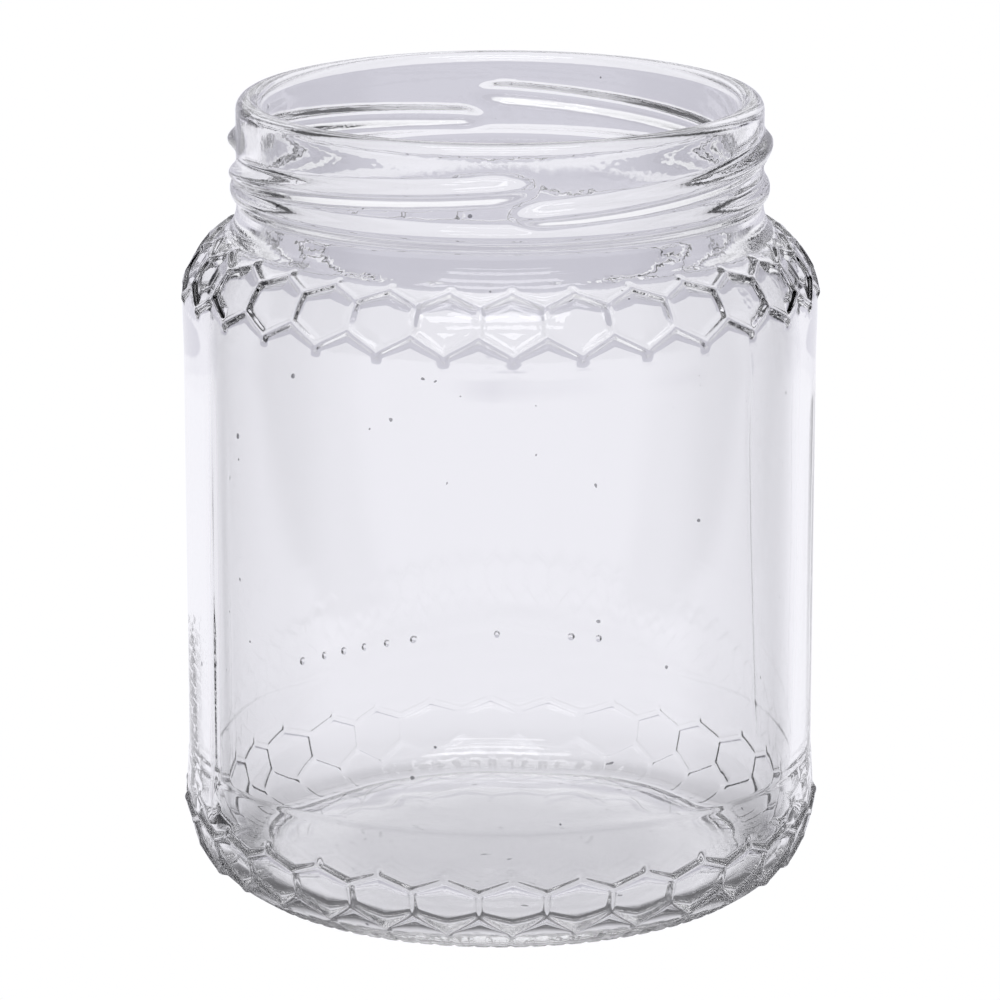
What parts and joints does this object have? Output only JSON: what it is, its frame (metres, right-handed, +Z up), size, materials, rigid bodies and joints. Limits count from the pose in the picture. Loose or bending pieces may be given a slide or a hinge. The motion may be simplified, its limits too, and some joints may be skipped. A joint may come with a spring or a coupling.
{
  "type": "glass jar",
  "caption": "Empty round clear glass jar with raised honeycomb rings on shoulder and heel, a plain label panel, a threaded neck and an open mouth.",
  "frame": {"origin": "middle of the base, on the plane that the jar stands on", "axes": "+Z up along the jar's axis to the mouth, -Y towards the front as pictured, +X to the right"},
  "size_m": [0.0808, 0.081, 0.1008],
  "materials": {
    "clear_glass": "clear, fire-polished"
  },
  "bodies": {
    "root": {"glass_jar": "clear_glass"}
  },
  "joints": []
}
